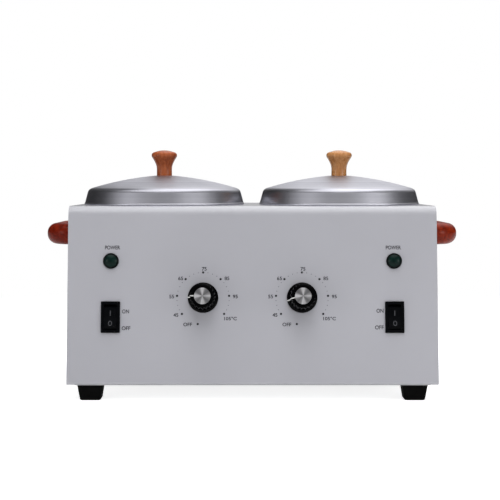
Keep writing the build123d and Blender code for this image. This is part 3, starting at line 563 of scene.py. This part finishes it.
# Dial scale: its ring's radius and how far its middle lies below the dial's, in millimetres, and each
# word's place in ring radii with its width in millimetres
RING_RADIUS = 22.3
RING_DROP = 0.6
SCALE_WORDS = (
    ("75", 0.042, 1.137, 4.2), ("65", -0.859, 0.772, 4.2), ("55", -1.2, 0.074, 4.2),
    ("45", -1.036, -0.632, 4.2), ("OFF", -0.585, -0.996, 7.4), ("105°C", 1.048, -0.768, 10.8),
    ("95", 1.234, 0.074, 4.2), ("85", 0.914, 0.772, 4.2),
)
SCALE_HEIGHT = 3.1

# Dots of the scale: angles of the main ones, from OFF round to the last number, the small ones between
# two of them, and for each size the radius and the number of sides
MAIN_DOTS = (258.4, 216.3, 174.2, 132.1, 90.0, 47.9, 5.8, -36.3)
SMALL_DOTS_BETWEEN = 3
MAIN_DOT = (1.0, 20)
SMALL_DOT = (0.32, 12)

# Words over the lamps and beside the switches, by piece: place on the panel and width in millimetres
PANEL_WORDS = {
    "power_words": (("POWER", -119.8, 117.5, 13.0), ("POWER", 120.6, 117.5, 13.0)),
    "switch_words": (("ON", -108.2, 62.7, 6.0), ("OFF", -107.7, 48.4, 7.4),
                     ("ON", 108.6, 63.3, 6.0), ("OFF", 107.9, 49.1, 7.4)),
}
PANEL_WORD_HEIGHT = 3.4

# Rockers, from the middle of the switch in millimetres: how far out the level face lies, how far up it
# meets the raised one, and the angle between the two
ROCKER_OUT = 1.575
ROCKER_FOLD = 0.362
ROCKER_BEND = radians(16.0)

# Marks of a rocker: width, height and, for the ring, its line, and the place up the rocker's face
BAR = (0.7, 4.4)
BAR_UP = 3.4
OFF_RING = (3.3, 4.6, 0.6)
OFF_RING_UP = -6.0


def scale_dot(angle, size):
    """Dot at an angle in degrees on the scale's ring."""
    turn = radians(angle)
    return dot_mesh(*size), RING_RADIUS * cos(turn), RING_RADIUS * sin(turn)


def dial_scale(side, sign, material):
    marks = [(text_mesh(words, width, SCALE_HEIGHT), x * RING_RADIUS, y * RING_RADIUS)
             for words, x, y, width in SCALE_WORDS]
    for index, angle in enumerate(MAIN_DOTS):
        marks.append(scale_dot(angle, MAIN_DOT))
        if index in (0, len(MAIN_DOTS) - 1):
            continue
        gap = MAIN_DOTS[index + 1] - angle
        for step in range(SMALL_DOTS_BETWEEN):
            marks.append(scale_dot(angle + gap * (step + 1) / (SMALL_DOTS_BETWEEN + 1), SMALL_DOT))
    plane = on_panel(sign * DIAL_X, DIAL_UP - RING_DROP)
    printed(f"{side}_dial_scale", "casing", material, plane, marks)


def rocker_marks(side, sign, material):
    """Marks of a rocker's two faces: a bar on the level one and a ring on the raised one."""
    body = f"{side}_switch_rocker"
    level = on_panel(sign * SWITCH_X, SWITCH_UP, ROCKER_OUT)
    raised = level @ Matrix.Translation((0, ROCKER_FOLD * MM, 0)) @ Matrix.Rotation(-ROCKER_BEND, 4, "X")
    printed(f"{side}_rocker_bar", body, material, level, [(bar_mesh(*BAR), 0, BAR_UP)])
    printed(f"{side}_rocker_ring", body, material, raised,
            [(ring_mesh(*OFF_RING), 0, OFF_RING_UP)])


def finish_print():
    black = ink("panel_ink", (34, 34, 38), (46, 46, 51))
    pale = ink("rocker_ink", (60, 61, 65), (76, 77, 81))
    for side, sign in SIDES:
        dial_scale(side, sign, black)
        rocker_marks(side, sign, pale)
    for name, row in PANEL_WORDS.items():
        marks = [(text_mesh(words, width, PANEL_WORD_HEIGHT), x, up) for words, x, up, width in row]
        printed(name, "casing", black, PANEL, marks)


# Camera, fitted to points of the object in a frame 500 pixels wide: focal length in pixels, place in
# metres, tilt from straight down, and shift in frame widths
FRAME_WIDTH = 500
SENSOR_WIDTH = 36.0
FOCAL_PIXELS = 1164
CAMERA_PLACE = (-0.0092, -1.0692, 0.1869)
CAMERA_TILT = radians(84.8)
CAMERA_SHIFT = (0.0165, 0.074)
CAMERA_REACH = 50.0


def make_camera():
    data = bpy.data.cameras.new("camera")
    data.sensor_width = SENSOR_WIDTH
    data.lens = SENSOR_WIDTH * FOCAL_PIXELS / FRAME_WIDTH
    data.shift_x, data.shift_y = CAMERA_SHIFT
    data.clip_end = CAMERA_REACH
    camera = bpy.data.objects.new("camera", data)
    camera.location = CAMERA_PLACE
    camera.rotation_euler = (CAMERA_TILT, 0, 0)
    bpy.context.scene.collection.objects.link(camera)
    bpy.context.scene.camera = camera


# Lamps: name, place, width and height in metres, watts, and whether gloss sees the lamp
LAMPS = (
    ("top_box", (0.1, -0.05, 1.35), 1.5, 0.9, 13.0, False),
    ("front_box", (0.2, -1.1, 1.25), 1.4, 0.7, 7.1, False),
    ("left_box", (-1.2, -0.8, 0.35), 0.45, 0.45, 1.6, True),
    ("right_box", (1.2, -0.8, 0.35), 0.45, 0.45, 2.0, True),
)
LAMPS_AIM = (0, 0, 0.1)


def make_lamps():
    """Soft boxes, all turned to the middle of the object."""
    for name, place, width, height, power, gloss in LAMPS:
        data = bpy.data.lights.new(name, "AREA")
        data.shape = "RECTANGLE"
        data.size = width
        data.size_y = height
        data.energy = power
        lamp = bpy.data.objects.new(name, data)
        lamp.location = place
        lamp.rotation_euler = (Vector(LAMPS_AIM) - Vector(place)).to_track_quat("-Z", "Y").to_euler()
        lamp.visible_glossy = gloss
        bpy.context.scene.collection.objects.link(lamp)


# Levels of the studio as gloss sees it low down, by the angle from the front in degrees, negative to
# the left
STUDIO = ((-180, 0.36), (-174, 0.24), (-167, 0.03), (-115, 0.01), (-92, 0.06), (-70, 0.5), (-48, 0.97),
          (-20, 0.48), (0, 0.34), (20, 0.6), (42, 1.05), (60, 0.85), (75, 0.45), (95, 0.06), (115, 0.01),
          (167, 0.03), (174, 0.24), (180, 0.36))
# The same levels higher up, and the level overhead
UPPER = ((-180, 0.25), (-60, 0.25), (-24, 0.2), (-9, 0.5), (9, 0.5), (24, 0.2), (60, 0.25), (180, 0.25))
OVERHEAD = 1.8
# Levels behind the object, by height
BEHIND = ((0.0, 0.3), (0.12, 0.4), (0.25, 0.55), (0.45, 0.75), (0.6, 1.1), (0.75, 1.4), (0.9, 1.9),
          (1.0, 2.1))
# Share of those levels, by how far to the right a direction points
BEHIND_SHARE = ((-0.6, 0.04), (-0.28, 0.11), (-0.02, 1.15), (0.4, 1.15), (0.75, 0.25))
# Most that any of these levels can be, and the level that diffuse light sees all round
BRIGHTEST = 2.2
DIFFUSE = (0.3, 0.3, 0.3, 1)

# Where one part of the studio goes over into the next, each a range of one axis of the direction's unit
# vector: up for the upper levels and overhead, then back and up for those behind the object
TO_UPPER = (0.5, 0.64)
TO_OVERHEAD = (0.7, 0.92)
TO_BEHIND = (-0.1, 0.3)
OFF_TABLE = (0.12, 0.32)


def make_world():
    """White to the camera, even to diffuse light, and a studio with bright and dark sides to gloss."""
    world = bpy.data.worlds.new("studio")
    world.use_nodes = True
    world.node_tree.nodes.clear()
    bpy.context.scene.world = world
    t = Tree(world.node_tree)
    side, behind, height = t.axes(t.add("ShaderNodeTexCoord").outputs["Generated"])
    around = t.math("ARCTAN2", side, t.math("MULTIPLY", behind, -1.0))
    turn = t.math("ADD", t.math("DIVIDE", around, 2 * pi), 0.5)
    low, upper = [t.levels(turn, [(0.5 + angle / 360, level) for angle, level in stops], BRIGHTEST)
                  for stops in (STUDIO, UPPER)]
    middle = t.blend(t.step(height, *TO_UPPER), low, upper)
    front = t.blend(t.step(height, *TO_OVERHEAD), middle, (OVERHEAD, OVERHEAD, OVERHEAD, 1))
    back = t.math("MULTIPLY", t.step(behind, *TO_BEHIND), t.step(height, *OFF_TABLE))
    across = t.math("ADD", t.math("MULTIPLY", side, 0.5), 0.5)
    share = t.levels(across, [(0.5 + 0.5 * place, part) for place, part in BEHIND_SHARE], BRIGHTEST)
    room = t.blend(back, front, t.math("MULTIPLY", t.levels(height, BEHIND, BRIGHTEST), share))
    path = t.add("ShaderNodeLightPath")
    plain = t.blend(path.outputs["Is Glossy Ray"], DIFFUSE, room)
    straight = t.math("MAXIMUM", path.outputs["Is Camera Ray"], path.outputs["Is Transmission Ray"])
    light = t.add("ShaderNodeBackground")
    t.link(t.blend(straight, plain, WHITE), light.inputs["Color"])
    t.link(light.outputs["Background"], t.add("ShaderNodeOutputWorld").inputs["Surface"])


# Floor: half its width, and the distances from the object over which it goes into the white, in metres;
# two shades; and how much of the white it adds near the object, and of that to gloss
FLOOR_REACH = 8.0
FLOOR_FADE = (0.4, 0.9)
FLOOR_SHADES = ((244, 244, 244), (246, 246, 246))
FLOOR_LIFT = 0.8
FLOOR_GLOSS = 0.3


def make_floor():
    """Pale floor that keeps the shadow near the object and goes over to the white behind it."""
    shape = bmesh.new()
    bmesh.ops.create_grid(shape, x_segments=1, y_segments=1, size=FLOOR_REACH)
    mesh = bpy.data.meshes.new("floor")
    shape.to_mesh(mesh)
    shape.free()
    floor = bpy.data.objects.new("floor", mesh)
    bpy.context.scene.collection.objects.link(floor)
    s = Surface("floor_white", Roughness=0.8, Specular_IOR_Level=0.1)
    first, second = (shade(levels) for levels in FLOOR_SHADES)
    s.colour(s.ramp(s.noise(s.place(), scale=3, detail=2), (NOISE_LOW, first), (NOISE_HIGH, second)))
    path = s.add("ShaderNodeLightPath")
    seen = s.math("MAXIMUM", path.outputs["Is Camera Ray"], path.outputs["Is Transmission Ray"])
    seen = s.math("MAXIMUM", seen, s.math("MULTIPLY", path.outputs["Is Glossy Ray"], FLOOR_GLOSS))
    lift = s.add("ShaderNodeEmission")
    s.link(s.math("MULTIPLY", seen, FLOOR_LIFT), lift.inputs["Strength"])
    near = s.add("ShaderNodeAddShader")
    s.link(s.shader.outputs["BSDF"], near.inputs[0])
    s.link(lift.outputs["Emission"], near.inputs[1])
    distance = s.add("ShaderNodeVectorMath", operation="LENGTH")
    s.link(s.texture.outputs["Object"], distance.inputs[0])
    away = s.spread(distance.outputs["Value"], 0.0, 1.0, *FLOOR_FADE)
    mix = s.add("ShaderNodeMixShader")
    s.link(s.math("MULTIPLY", away, seen), mix.inputs["Fac"])
    s.link(near.outputs["Shader"], mix.inputs[1])
    s.link(s.add("ShaderNodeEmission").outputs["Emission"], mix.inputs[2])
    s.link(mix.outputs["Shader"], s.tree.nodes["Material Output"].inputs["Surface"])
    mesh.materials.append(s.material)


bpy.context.scene.view_settings.view_transform = "Standard"
make_camera()
make_lamps()
make_world()
make_floor()
finish_casing()
finish_stacks()
finish_controls()
finish_tables()
finish_print()
